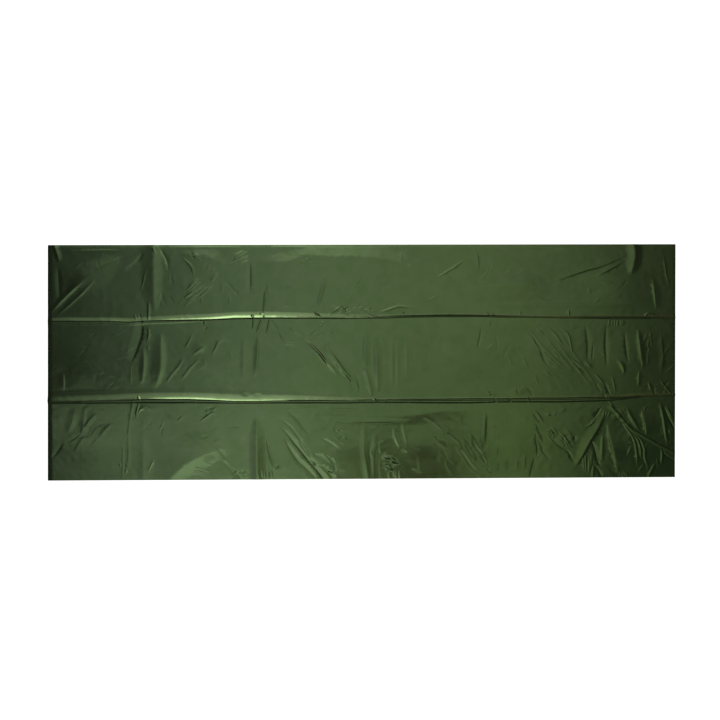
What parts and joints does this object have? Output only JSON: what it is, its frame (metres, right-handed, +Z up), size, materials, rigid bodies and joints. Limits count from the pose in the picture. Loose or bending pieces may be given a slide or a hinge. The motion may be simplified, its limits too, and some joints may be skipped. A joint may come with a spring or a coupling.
{
  "type": "emergency foil blanket",
  "caption": "Rectangular metallised film blanket laid out flat, with two standing lengthwise creases, cross creases and slanting wrinkles from its packing folds.",
  "frame": {"origin": "middle of the sheet's outline, on the surface it lies on", "axes": "+X along the length, +Y across the width, +Z up out of the surface"},
  "size_m": [2.1, 0.7912, 0.01],
  "materials": {
    "film": "thin PET film, vacuum metallised and lacquered dark green, creased"
  },
  "bodies": {
    "root": {"blanket": "film"}
  },
  "joints": []
}
